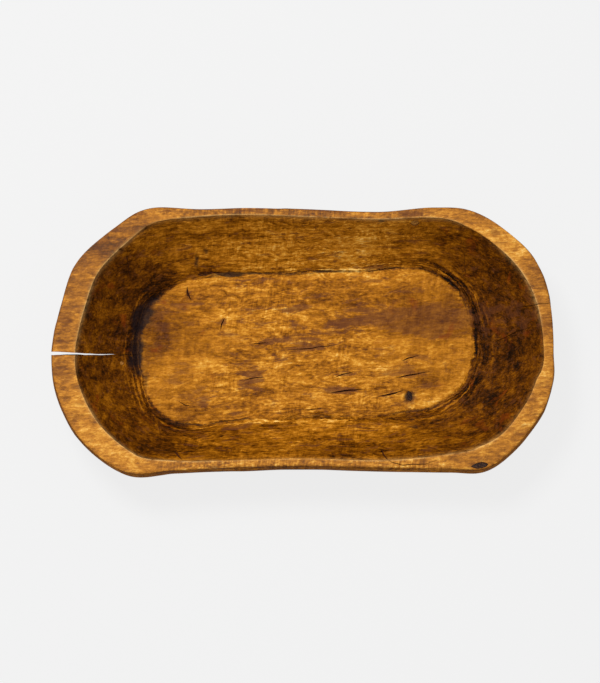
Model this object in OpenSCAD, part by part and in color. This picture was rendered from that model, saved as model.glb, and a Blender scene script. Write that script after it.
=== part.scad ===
// Dough bowl: a long trough carved by hand from one split log.
// The origin is on the resting plane, below the middle of the rim.
// +X runs along the grain, +Y to the far side and +Z up. Sizes are in millimetres.

/* [Bowl] */
// Length over the two ends, at their fullest
bowl_l = 556; // [480:1:680]
// Width over the two sides, at their fullest
bowl_w = 300; // [250:1:360]
// Height of the rim above the resting plane
bowl_h = 90; // [76:1:120]
// How far the outside stands out past the edge of the rim
belly = 3; // [1:0.5:5]
// Height at which the outside is fullest
belly_z = 64; // [50:1:70]

/* [Rim] */
// Width of the rim's flat along the two long sides
side_land = 8; // [6:0.5:12]
// Width of the flat at the thick left end
left_land = 25; // [16:0.5:32]
// Width of the flat at the two left corners
left_corner_land = 26; // [16:0.5:32]
// Width of the flat at the right end
right_land = 9; // [7:0.5:20]
// Width of the flat at the two right corners
right_corner_land = 20; // [12:0.5:26]
// Wear on the two edges of the rim
edge_wear = 2; // [1:0.25:3]

/* [Floor and foot] */
// Length of the floor between the heels of the end walls
floor_l = 376; // [300:1:400]
// Width of the floor between the heels of the side walls
floor_w = 178; // [140:1:190]
// Offset of the floor's middle towards the right end
floor_shift = 5; // [-10:0.5:12]
// Thickness of the wood under the middle of the floor
floor_t = 17; // [12:0.5:24]
// Rise of the floor from its middle to the heels
floor_dish = 3; // [1:0.25:5]
// Length of the flat foot
foot_l = 300; // [220:1:320]
// Width of the flat foot
foot_w = 116; // [90:1:140]

/* [Drying check] */
// Width of the open check at its mouth, in the left end
check_w = 4; // [2:0.25:6]
// Length of the check from the left end to its tip
check_l = 95; // [50:1:110]
// Place of the check's mouth across the end
check_y = -15; // [-30:1:30]
// Lean of the check from upright, towards the far side as it goes down
check_lean = 6; // [0:0.5:8]

/* [Knots] */
// Length of the dark knot in the near right corner of the rim
rim_knot_l = 19; // [12:0.5:24]
// Width of that knot
rim_knot_w = 6.5; // [4:0.5:8]
// Distance of that knot's middle from the right end, as a share of the length
rim_knot_in = 0.153; // [0.13:0.001:0.17]
// Distance of that knot's middle from the near side
rim_knot_off = 12.5; // [11:0.5:16]
// Length of the dark knot in the floor, across the grain
floor_knot_l = 11; // [7:0.5:14]
// Width of that knot
floor_knot_w = 5.5; // [4:0.5:8]
// Distance of that knot from the right heel
floor_knot_in = 73; // [50:1:100]
// Distance of that knot from the near heel
floor_knot_off = 33; // [28:1:60]
// Diameter of the pale ring knot in the far wall
wall_knot_d = 9; // [6:0.5:10]
// Diameter of the pale pin knot in the left wall
pin_knot_d = 5; // [4:0.5:6]
// Depth to which the knots in the floor, the rim and the left wall are rooted
knot_depth = 8; // [5:0.5:10]
// Depth to which the ring knot is rooted in the thinner far wall
wall_knot_depth = 5; // [4:0.5:6]
// Shrinkage gap round each dead knot
knot_gap = 0.1; // [0.05:0.05:0.3]

/* [Hidden] */

WOOD = [0.66, 0.43, 0.15];
DARK_KNOT = [0.13, 0.10, 0.09];
PALE_KNOT = [0.74, 0.52, 0.28];

// Outlines run anticlockwise from the right end. Both have a point at each station,
// and the wall runs from a station of the floor to the same station of the rim.
RIM_OUTLINE = [
    [275, -20], [272, 40], [256, 88], [222, 123], [184, 144], [145, 147], [80, 142],
    [0, 145], [-60, 147], [-115, 145], [-170, 146], [-205, 127], [-248, 89], [-266, 40],
    [-276, -15], [-270, -62], [-243, -112], [-194, -147], [-142, -145], [-75, -142],
    [0, -140], [90, -142], [160, -143], [200, -142], [233, -118], [262, -80], [273, -50]
];
FLOOR_OUTLINE = [
    [193, -6], [189, 32], [178, 58], [160, 77], [141, 88], [116, 90], [62, 87],
    [0, 84], [-50, 83], [-95, 81], [-128, 75], [-152, 63], [-171, 47], [-181, 22],
    [-183, -8], [-180, -34], [-170, -66], [-148, -84], [-122, -90], [-73, -85],
    [0, -81], [85, -79], [124, -74], [148, -68], [169, -54], [183, -38], [190, -22]
];
RIGHT_MID = (right_land + right_corner_land) / 2;
LEFT_MID = (left_land + left_corner_land) / 2;
// Width of the rim's flat at each station
LANDS = [
    1.2 * right_land, RIGHT_MID, right_corner_land, right_corner_land, 0.9 * right_corner_land,
    1.4 * side_land, side_land, side_land, side_land, side_land,
    2.1 * side_land, 0.8 * left_corner_land, left_corner_land, LEFT_MID,
    left_land, left_corner_land, left_corner_land, 0.85 * left_corner_land, 1.3 * side_land,
    side_land, side_land, side_land, 2 * side_land,
    1.2 * right_corner_land, right_corner_land, right_corner_land, 0.9 * right_corner_land
];
STATIONS = len(RIM_OUTLINE);
PER_STATION = 3;
N = STATIONS * PER_STATION;
OUTSIDE_STEPS = 7;
SHOULDER_STEPS = 2;
INSIDE_STEPS = 6;
FLOOR_STEPS = 2;
// How hard the outside tucks under towards the foot
TUCK = 1.6;
// Share of the inside wall's rise that is straight, the rest being hollow
STRAIGHT = 0.6;
// Room that a cut takes past the surface it opens through
OVER = 1;

function wrap(i) = (i + STATIONS) % STATIONS;
function spline(a, b, c, d, t) =
    b + t * (c - a) / 2 + t * t * (a - 2.5 * b + 2 * c - d / 2)
    + t * t * t * (b * 1.5 - a / 2 - c * 1.5 + d / 2);
// Value at station u of a closed curve through a list of points or numbers
function along(list, u) =
    let (i = floor(u))
    spline(list[wrap(i - 1)], list[wrap(i)], list[wrap(i + 1)], list[wrap(i + 2)], u - i);
function smooth(list) = [for (k = [0:N - 1]) along(list, k / PER_STATION)];
function xs(ring) = [for (p = ring) p.x];
function ys(ring) = [for (p = ring) p.y];
function centred(v, lo, hi) = v - (lo + hi) / 2;
// A ring stretched to a length and a width, with its middle moved along X
function fitted(ring, l, w, shift = 0) =
    let (x0 = min(xs(ring)), x1 = max(xs(ring)), y0 = min(ys(ring)), y1 = max(ys(ring)))
    [for (p = ring) [
        centred(p.x, x0, x1) * l / (x1 - x0) + shift,
        centred(p.y, y0, y1) * w / (y1 - y0)
    ]];
function unit(v) = v / norm(v);
function inward(ring, k) =
    let (t = unit(ring[(k + 1) % N] - ring[(k + N - 1) % N]))
    [-t.y, t.x];
// A ring moved inwards by its own width at every point
function inset(ring, widths) = [for (k = [0:N - 1]) ring[k] + inward(ring, k) * widths[k]];
function evenly(width) = [for (k = [0:N - 1]) width];
function blend(a, b, f) = a * (1 - f) + b * f;
function lift(ring, z) = [for (p = ring) [p.x, p.y, z]];

RIM = fitted(smooth(RIM_OUTLINE), bowl_l - 2 * belly, bowl_w - 2 * belly);
BELLY = fitted(inset(RIM, evenly(-belly)), bowl_l, bowl_w);
LAND = smooth(LANDS);
LIP = inset(RIM, LAND);
HEEL = fitted(smooth(FLOOR_OUTLINE), floor_l, floor_w, floor_shift);
FOOT = fitted(smooth(FLOOR_OUTLINE), foot_l, foot_w, floor_shift);
HEEL_Z = floor_t + floor_dish;
EDGE_Z = bowl_h - edge_wear;

// Ring of the outside, from the foot at 0 degrees to its fullest at 90
function outside_ring(s) = lift(blend(FOOT, BELLY, pow(sin(s), TUCK)), belly_z * (1 - cos(s)));
// Ring of the shoulder, from the fullest of the outside at 0 to the rim's edge at 1
function shoulder_ring(f) = lift(blend(BELLY, RIM, f * f), blend(belly_z, EDGE_Z, f));
function wall_rise(q) = STRAIGHT * q + (1 - STRAIGHT) * q * q;
function wall_z(q) = HEEL_Z + (EDGE_Z - HEEL_Z) * wall_rise(q);
// Ring of the inside wall, from the heel at 0 to the rim at 1
function wall_ring(q) = lift(blend(HEEL, LIP, q), wall_z(q));
// Ring of the dished floor, from its middle at 0 to the heel at 1
function floor_ring(f) =
    lift([for (p = HEEL) [floor_shift, 0] + f * (p - [floor_shift, 0])], floor_t + floor_dish * f * f);

RINGS = concat(
    [for (j = [0:OUTSIDE_STEPS]) outside_ring(90 * j / OUTSIDE_STEPS)],
    [for (j = [1:SHOULDER_STEPS]) shoulder_ring(j / SHOULDER_STEPS)],
    [lift(inset(RIM, evenly(edge_wear)), bowl_h)],
    [lift(inset(RIM, LAND - evenly(edge_wear)), bowl_h)],
    [for (j = [INSIDE_STEPS:-1:0]) wall_ring(j / INSIDE_STEPS)],
    [for (j = [FLOOR_STEPS:-1:1]) floor_ring(j / (FLOOR_STEPS + 1))]
);
CENTRE = len(RINGS) * N;

// The carved trough before it dried: one skin from the foot over the rim to the floor
module trough() {
    points = concat([for (ring = RINGS) each ring], [[floor_shift, 0, floor_t]]);
    skin = [for (r = [0:len(RINGS) - 2], k = [0:N - 1])
        let (a = r * N + k, b = r * N + (k + 1) % N)
        each [[a, a + N, b + N], [a, b + N, b]]];
    middle = [for (k = [0:N - 1]) [CENTRE - N + k, CENTRE, CENTRE - N + (k + 1) % N]];
    foot = [[for (k = [0:N - 1]) k]];
    polyhedron(points, concat(foot, skin, middle));
}

// The open check, which splits the left end wall from its rim to its foot
module drying_check() {
    mouth = -bowl_l / 2 - OVER;
    tip = -bowl_l / 2 + check_l;
    deep = bowl_h / cos(check_lean) + 2 * OVER;
    translate([0, check_y, bowl_h])
        rotate([check_lean, 0, 0])
            translate([0, 0, -deep])
                linear_extrude(deep + OVER)
                    polygon([
                        [mouth, -check_w / 2],
                        [blend(mouth, tip, 0.45), -0.2 * check_w],
                        [tip, 0.6 * check_w],
                        [blend(mouth, tip, 0.55), 0.45 * check_w],
                        [mouth, check_w / 2]
                    ]);
}

// An upright lens of length l along X, where two round faces meet
module lens(l, w, h) {
    r = (l * l + w * w) / (4 * w);
    intersection() {
        translate([0, r - w / 2, 0]) cylinder(h = h, r = r, $fn = 64);
        translate([0, w / 2 - r, 0]) cylinder(h = h, r = r, $fn = 64);
    }
}

// Body of each knot, rooted in the wood and running out past the surface.
// With room above 0 it is the socket that the knot sits in.
module rim_knot_body(room = 0) {
    translate([bowl_l * (0.5 - rim_knot_in), rim_knot_off - bowl_w / 2, bowl_h - knot_depth])
        rotate([0, 0, 8])
            lens(rim_knot_l + 2 * room, rim_knot_w + 2 * room, knot_depth + OVER);
}

module floor_knot_body(room = 0) {
    x = floor_shift + floor_l / 2 - floor_knot_in;
    y = floor_knot_off - floor_w / 2;
    translate([x, y, HEEL_Z - knot_depth])
        rotate([0, 0, 100])
            lens(floor_knot_l + 2 * room, floor_knot_w + 2 * room, knot_depth + OVER);
}

module wall_knot_body(room = 0) {
    k = round(5.3 * PER_STATION);
    p = wall_ring(0.88)[k];
    translate([p.x, p.y + wall_knot_depth, p.z])
        rotate([90, 0, 0])
            cylinder(h = 2 * wall_knot_d, d = wall_knot_d + 2 * room, $fn = 48);
}

module pin_knot_body(room = 0) {
    k = round(14.35 * PER_STATION);
    p = wall_ring(0.3)[k];
    translate([p.x, p.y, p.z - knot_depth])
        cylinder(h = knot_depth + 2 * pin_knot_d, d = pin_knot_d + 2 * room, $fn = 48);
}

module bowl() {
    color(WOOD)
        difference() {
            trough();
            drying_check();
            rim_knot_body(knot_gap);
            floor_knot_body(knot_gap);
            wall_knot_body(knot_gap);
            pin_knot_body(knot_gap);
        }
}

module rim_knot() {
    color(DARK_KNOT)
        intersection() {
            trough();
            rim_knot_body();
        }
}

module floor_knot() {
    color(DARK_KNOT)
        intersection() {
            trough();
            floor_knot_body();
        }
}

module wall_knot() {
    color(PALE_KNOT)
        intersection() {
            trough();
            wall_knot_body();
        }
}

module pin_knot() {
    color(PALE_KNOT)
        intersection() {
            trough();
            pin_knot_body();
        }
}

bowl();
rim_knot();
floor_knot();
wall_knot();
pin_knot();
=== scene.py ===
"""A dough bowl carved by hand from one split log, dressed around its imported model.

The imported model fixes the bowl's overall size and where its dead knots sit. This script carves
the same form again as a fine skin with tool marks, worn edges, splits and open sockets, puts a
detailed knot in each socket, waxes the wood, and sets the bowl in a plain pale studio.

Shapes are worked out in millimetres, in the frame's own axes: +X along the grain, +Y to the far
side and +Z up. They are turned into metres only when a mesh is made.
"""

import logging
import math
from dataclasses import dataclass, field
from enum import Enum
from typing import Iterable, Sequence

import bpy
import numpy as np
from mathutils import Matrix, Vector
from mathutils.bvhtree import BVHTree
from mathutils.kdtree import KDTree


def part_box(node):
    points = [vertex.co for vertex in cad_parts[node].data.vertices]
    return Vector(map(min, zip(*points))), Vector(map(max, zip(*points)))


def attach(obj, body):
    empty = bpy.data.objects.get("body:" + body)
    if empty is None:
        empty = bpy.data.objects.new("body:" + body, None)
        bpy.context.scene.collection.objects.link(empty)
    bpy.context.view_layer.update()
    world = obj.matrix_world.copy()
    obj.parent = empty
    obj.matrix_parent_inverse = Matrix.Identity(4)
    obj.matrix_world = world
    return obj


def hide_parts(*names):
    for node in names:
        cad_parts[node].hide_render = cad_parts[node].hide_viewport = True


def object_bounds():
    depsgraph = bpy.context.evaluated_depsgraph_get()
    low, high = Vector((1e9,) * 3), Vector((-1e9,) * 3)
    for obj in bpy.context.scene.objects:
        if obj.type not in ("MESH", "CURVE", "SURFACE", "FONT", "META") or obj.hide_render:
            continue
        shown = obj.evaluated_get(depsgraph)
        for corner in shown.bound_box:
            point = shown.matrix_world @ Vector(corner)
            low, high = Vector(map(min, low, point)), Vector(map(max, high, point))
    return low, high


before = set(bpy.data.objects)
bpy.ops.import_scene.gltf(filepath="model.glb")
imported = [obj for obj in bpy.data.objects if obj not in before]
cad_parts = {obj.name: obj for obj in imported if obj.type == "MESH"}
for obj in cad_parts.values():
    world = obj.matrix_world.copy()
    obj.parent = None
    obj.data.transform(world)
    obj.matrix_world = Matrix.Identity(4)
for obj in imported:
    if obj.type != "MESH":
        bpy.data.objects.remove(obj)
cad_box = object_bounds()

MM = 0.001
LOG = logging.getLogger("dough_bowl")
Point = tuple[float, float]
Colour = tuple[int, int, int]
Stops = tuple[tuple[float, Colour], ...]
Socket = bpy.types.NodeSocket
Array = np.ndarray

# Outlines run anticlockwise from the right end, with a point at each station. The wall runs from
# a station of the floor to the same station of the rim.
RIM_OUTLINE: tuple[Point, ...] = (
    (275, -20), (272, 40), (256, 88), (222, 123), (184, 144), (145, 147), (80, 142),
    (0, 145), (-60, 147), (-115, 145), (-170, 146), (-205, 127), (-248, 89), (-266, 40),
    (-276, -15), (-270, -62), (-243, -112), (-194, -147), (-142, -145), (-75, -142),
    (0, -140), (90, -142), (160, -143), (200, -142), (233, -118), (262, -80), (273, -50),
)
FLOOR_OUTLINE: tuple[Point, ...] = (
    (193, -6), (189, 32), (178, 58), (160, 77), (141, 88), (116, 90), (62, 87),
    (0, 84), (-50, 83), (-95, 81), (-128, 75), (-152, 63), (-171, 47), (-181, 22),
    (-183, -8), (-180, -34), (-170, -66), (-148, -84), (-122, -90), (-73, -85),
    (0, -81), (85, -79), (124, -74), (148, -68), (169, -54), (183, -38), (190, -22),
)


class Zone(Enum):
    """The parts of the bowl's skin, from the middle of the foot over the rim to the floor."""

    FOOT = 0
    OUTSIDE = 1
    RIM = 2
    WALL = 3
    FLOOR = 4


class Slot(Enum):
    """The record's material slots."""

    WOOD = "waxed_wood"
    DARK_KNOT = "dark_knot_wood"
    PALE_KNOT = "pale_knot_wood"


Rings = Iterable[tuple[Zone, Array]]


def smoothstep(low: float, high: float, value: Array) -> Array:
    """Eases from 0 at low to 1 at high.

    Args:
        low: Where the step starts.
        high: Where it ends.
        value: The values to step.

    Returns:
        The eased values, from 0 to 1.
    """
    t = np.clip((value - low) / (high - low), 0.0, 1.0)
    return t * t * (3.0 - 2.0 * t)


def bump_at(value: Array, centre: float, reach: Array | float) -> Array:
    """A smooth hump of height 1 at centre that dies away over reach."""
    return np.exp(-(((value - centre) / reach) ** 2))


def mix(a: Array, b: Array, share: Array | float) -> Array:
    """Blends a into b by share, which runs from 0 to 1."""
    return a * (1.0 - share) + b * share


def slow_start(share: float, straight: float) -> float:
    """A share of which one part stays straight and the rest is squared."""
    return straight * share + (1 - straight) * share * share


def linear(colour: Colour) -> tuple[float, float, float, float]:
    """Turns a display colour into the linear colour that a shader takes.

    Args:
        colour: Red, green and blue from 0 to 255.

    Returns:
        Linear red, green and blue with an alpha of 1.
    """
    parts = [c / 255.0 for c in colour]
    lin = [c / 12.92 if c <= 0.04045 else ((c + 0.055) / 1.055) ** 2.4 for c in parts]
    return (lin[0], lin[1], lin[2], 1.0)


@dataclass(frozen=True)
class Noise:
    """Smooth random values that are the same on every run.

    Attributes:
        seed: Which set of random values to use.
    """

    seed: int

    def _corner(self, cell: Array) -> Array:
        """A random value for each cell.

        Args:
            cell: Whole numbers that name the cells.

        Returns:
            One value from -1 to 1 for each cell.
        """
        c = cell.astype(np.uint64)
        h = c[..., 0] * np.uint64(374761393) + c[..., 1] * np.uint64(668265263)
        h += c[..., 2] * np.uint64(2246822519) + np.uint64(self.seed * 3266489917)
        h = (h ^ (h >> np.uint64(13))) * np.uint64(1274126177)
        h = (h ^ (h >> np.uint64(16))) & np.uint64(0xFFFFFF)
        return h.astype(float) / float(0x7FFFFF) - 1.0

    def at(self, points: Array, size: Sequence[float]) -> Array:
        """Smooth values at points.

        Args:
            points: An array of points, in millimetres.
            size: The length of one random swell along X, Y and Z, in millimetres.

        Returns:
            One value from -1 to 1 for each point.
        """
        p = points / np.asarray(size, float) + 4096.0
        cell = np.floor(p)
        t = p - cell
        t = t * t * t * (t * (t * 6.0 - 15.0) + 10.0)
        total = np.zeros(points.shape[:-1])
        for dx in (0, 1):
            wx = t[..., 0] if dx else 1.0 - t[..., 0]
            for dy in (0, 1):
                wy = t[..., 1] if dy else 1.0 - t[..., 1]
                for dz in (0, 1):
                    wz = t[..., 2] if dz else 1.0 - t[..., 2]
                    total += wx * wy * wz * self._corner(cell + np.array([dx, dy, dz]))
        return total

    def layered(self, points: Array, size: Sequence[float], layers: int = 3) -> Array:
        """Values with finer and fainter swells on top of the largest ones.

        Args:
            points: An array of points, in millimetres.
            size: The length of the largest swell along X, Y and Z, in millimetres.
            layers: How many sizes of swell to add up.

        Returns:
            One value for each point, mostly from -1 to 1.
        """
        total = np.zeros(points.shape[:-1])
        weight = 1.0
        for layer in range(layers):
            finer = np.asarray(size, float) / 2.0**layer
            total += weight * Noise(self.seed + 17 * layer).at(points, finer)
            weight *= 0.5
        return total / 1.5


class StationCurve:
    """A smooth closed curve through values held at stations numbered from 0."""

    def __init__(self, values: Iterable[Point] | Iterable[float]) -> None:
        """Keeps one value, a number or a point, for each station."""
        array = np.asarray(list(values), float)
        self.values = array.reshape(len(array), -1)

    def at(self, stations: Array) -> Array:
        """Values part of the way between stations.

        Args:
            stations: Places along the curve, counted in stations.

        Returns:
            One row for each place.
        """
        count = len(self.values)
        whole = np.floor(stations).astype(int)
        t = (stations - whole)[:, None]
        a, b, c, d = (self.values[(whole + step) % count] for step in (-1, 0, 1, 2))
        square = a - 2.5 * b + 2.0 * c - d / 2.0
        cube = b * 1.5 - a / 2.0 - c * 1.5 + d / 2.0
        return b + t * (c - a) / 2.0 + t * t * square + t**3 * cube


def fitted(ring: Array, length: float, width: float, shift: float = 0.0) -> Array:
    """Stretches a flat ring to a length and a width about its own middle.

    Args:
        ring: The ring's points.
        length: Its new length along X.
        width: Its new width along Y.
        shift: Where its middle goes along X.

    Returns:
        The stretched ring.
    """
    low, high = ring.min(0), ring.max(0)
    size = np.array([length, width])
    return (ring - (low + high) / 2.0) * size / (high - low) + np.array([shift, 0.0])


def inset(ring: Array, distance: Array | float) -> Array:
    """Moves every point of a flat ring inwards by a distance.

    Args:
        ring: The ring's points, anticlockwise.
        distance: One distance, or one for each point. Below 0 it moves outwards.

    Returns:
        The moved ring.
    """
    along = np.roll(ring, -1, 0) - np.roll(ring, 1, 0)
    along /= np.linalg.norm(along, axis=1)[:, None]
    inward = np.stack([-along[:, 1], along[:, 0]], 1)
    return ring + inward * np.broadcast_to(distance, len(ring))[:, None]


def lift(ring: Array, height: Array | float) -> Array:
    """Gives a flat ring a height."""
    return np.column_stack([ring, np.broadcast_to(height, len(ring))])


def line_run(points: Array) -> Array:
    """How far each point of a line is from its first, measured along the line."""
    steps = np.linalg.norm(np.diff(points, axis=0), axis=1)
    return np.concatenate([[0.0], np.cumsum(steps)])


@dataclass
class TroughForm:
    """The bowl's sizes in millimetres, and the rings of its skin before any tool mark.

    Attributes:
        length: Length over the two ends at their fullest.
        width: Width over the two sides at their fullest.
        height: Height of the rim.
        around: Number of points in a ring.
        belly: How far the outside stands out past the edge of the rim.
        belly_height: Height at which the outside is fullest.
        side_land: Width of the rim's flat along the sides.
        left_land: Width of the flat at the left end.
        left_corner_land: Width of the flat at the left corners.
        right_land: Width of the flat at the right end.
        right_corner_land: Width of the flat at the right corners.
        edge_wear: Rounding of the rim's outer edge.
        lip_wear: Rounding of its inner edge.
        floor_length: Length of the floor between its heels.
        floor_width: Width of the floor between its heels.
        floor_shift: Offset of the floor's middle towards the right end.
        floor_thickness: Thickness of the wood under the middle of the floor.
        floor_dish: Rise of the floor from its middle to the heels.
        foot_length: Length of the flat foot.
        foot_width: Width of the flat foot.
        foot_hollow: How far the middle of the foot is hollowed.
        foot_reach: Share of the foot at which its own rings end.
        tuck: How hard the outside tucks under towards the foot.
        straight: Share of the inside wall's rise that is straight.
        spine: Half the length of the middle line that the innermost rings close in on.
        spine_share: Place on the middle line as a share of a point's own place along the bowl.
        slot: Size of the innermost ring as a share of the outermost.
        heel_passes: How many times the heel is smoothed.
    """

    length: float
    width: float
    height: float
    around: int = 750
    belly: float = 3.0
    belly_height: float = 64.0
    side_land: float = 8.0
    left_land: float = 25.0
    left_corner_land: float = 26.0
    right_land: float = 9.0
    right_corner_land: float = 20.0
    edge_wear: float = 2.0
    lip_wear: float = 1.2
    floor_length: float = 376.0
    floor_width: float = 178.0
    floor_shift: float = 5.0
    floor_thickness: float = 17.0
    floor_dish: float = 3.0
    foot_length: float = 300.0
    foot_width: float = 116.0
    foot_hollow: float = 0.5
    foot_reach: float = 0.96
    tuck: float = 1.6
    straight: float = 0.6
    spine: float = 96.0
    spine_share: float = 0.62
    slot: float = 0.02
    heel_passes: int = 3
    zones: Array = field(init=False)
    grid: Array = field(init=False)

    def __post_init__(self) -> None:
        """Works out the outlines and stacks the rings."""
        stations = self._even_stations()
        rim = StationCurve(RIM_OUTLINE).at(stations)
        floor = StationCurve(FLOOR_OUTLINE).at(stations)
        self.land = StationCurve(self._lands()).at(stations)[:, 0]
        self.rim = fitted(rim, self.length - 2 * self.belly, self.width - 2 * self.belly)
        self.fullest = fitted(inset(self.rim, -self.belly), self.length, self.width)
        self.lip = inset(self.rim, self.land)
        self.heel = fitted(floor, self.floor_length, self.floor_width, self.floor_shift)
        self.foot = fitted(floor, self.foot_length, self.foot_width, self.floor_shift)
        self.heel_height = self.floor_thickness + self.floor_dish
        self.edge_height = self.height - self.edge_wear
        self._stack()

    def _lands(self) -> list[float]:
        """Width of the rim's flat at each station.

        Returns:
            The widths, in millimetres.
        """
        end, right = self.right_land, self.right_corner_land
        left, side = self.left_corner_land, self.side_land
        right_mid = (end + right) / 2
        left_mid = (self.left_land + left) / 2
        return [
            1.2 * end, right_mid, right, right, 0.9 * right, 1.4 * side, side,
            side, side, side, 2.1 * side, 0.8 * left, left, left_mid,
            self.left_land, left, left, 0.85 * left, 1.3 * side, side,
            side, side, 2 * side, 1.2 * right, right, right, 0.9 * right,
        ]

    def _even_stations(self) -> Array:
        """Places along the rim that are the same distance apart.

        Returns:
            The places, counted in stations.
        """
        fine = np.arange(0, len(RIM_OUTLINE), 0.01)
        points = StationCurve(RIM_OUTLINE).at(fine)
        run = line_run(np.vstack([points, points[:1]]))
        wanted = np.arange(self.around) * run[-1] / self.around
        return np.interp(wanted, run, np.append(fine, len(RIM_OUTLINE)))

    def _spine(self, ring: Array) -> Array:
        """The place on the middle line that each point of a ring closes in on."""
        x = np.clip((ring[:, 0] - self.floor_shift) * self.spine_share, -self.spine, self.spine)
        return np.column_stack([x + self.floor_shift, np.zeros(len(ring))])

    def wall_ring(self, share: float) -> Array:
        """A ring of the inside wall, from the heel at 0 to the rim at 1."""
        height = mix(self.heel_height, self.edge_height, slow_start(share, self.straight))
        return lift(mix(self.heel, self.lip, share), height)

    def _outer_rings(self) -> Rings:
        """The rings of the foot, the outside and the shoulder, going up."""
        spine = self._spine(self.foot)
        for share in np.linspace(self.slot, self.foot_reach, 8):
            hollow = self.foot_hollow * (1 - smoothstep(0.7, self.foot_reach, share))
            yield Zone.FOOT, lift(mix(spine, self.foot, share), hollow)
        for angle in np.radians(np.linspace(0, 90, 20)):
            ring = mix(self.foot, self.fullest, math.sin(angle) ** self.tuck)
            yield Zone.OUTSIDE, lift(ring, self.belly_height * (1 - math.cos(angle)))
        for share in np.linspace(0, 1, 9)[1:]:
            height = mix(self.belly_height, self.edge_height, share)
            yield Zone.OUTSIDE, lift(mix(self.fullest, self.rim, share * share), height)

    def _rim_rings(self) -> Rings:
        """The rings of the rim's worn outer edge, its flat and its worn lip, going inwards."""
        for angle in np.radians((30, 60, 90)):
            inwards = self.edge_wear * (1 - math.cos(angle))
            height = self.edge_height + self.edge_wear * math.sin(angle)
            yield Zone.RIM, lift(inset(self.rim, inwards), height)
        flat_end = self.land - self.lip_wear
        for share in np.linspace(0, 1, 9)[1:]:
            yield Zone.RIM, lift(inset(self.rim, mix(self.edge_wear, flat_end, share)), self.height)
        for angle in np.radians((35, 70)):
            across = flat_end + self.lip_wear * math.sin(angle)
            height = self.height - self.lip_wear * (1 - math.cos(angle))
            yield Zone.RIM, lift(inset(self.rim, across), height)

    def _inner_rings(self) -> Rings:
        """The rings of the wall and the floor, going down and inwards, closest at the heel."""
        for step in np.linspace(1, 0, 41):
            yield Zone.WALL, self.wall_ring(slow_start(step, 0.25))
        spine = self._spine(self.heel)
        for step in np.linspace(0, 1, 34)[1:]:
            share = 1 - (1 - self.slot) * slow_start(step, 0.4)
            height = self.floor_thickness + self.floor_dish * share * share
            yield Zone.FLOOR, lift(mix(spine, self.heel, share), height)

    def _stack(self) -> None:
        """Stacks the rings into one grid and rounds the heel between wall and floor."""
        zones, rings = zip(*self._outer_rings(), *self._rim_rings(), *self._inner_rings())
        self.zones = np.array([zone.value for zone in zones])
        self.grid = np.stack(rings)
        heel = self.first_row(Zone.FLOOR) - 1
        for _ in range(self.heel_passes):
            near = slice(heel - 2, heel + 3)
            before, after = slice(heel - 3, heel + 2), slice(heel - 1, heel + 4)
            middle = (self.grid[before] + self.grid[after]) / 2
            self.grid[near] = mix(self.grid[near], middle, 0.5)
        self.heel_row = heel

    def first_row(self, zone: Zone) -> int:
        """The number of the first ring of a zone."""
        return int(np.argmax(self.zones == zone.value))

    def endness(self) -> Array:
        """For each point round the bowl, 0 on a side wall and 1 on an end wall."""
        run = self.lip - self.heel
        return np.abs(run[:, 0]) / np.linalg.norm(run, axis=1)


def grid_normals(grid: Array) -> Array:
    """The outward direction at each point of a grid of rings.

    Args:
        grid: Rings of points.

    Returns:
        One unit direction for each point.
    """
    round_step = np.roll(grid, -1, 1) - np.roll(grid, 1, 1)
    up_step = np.gradient(grid, axis=0)
    normal = np.cross(round_step, up_step)
    return normal / np.maximum(np.linalg.norm(normal, axis=2), 1e-9)[..., None]


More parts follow.
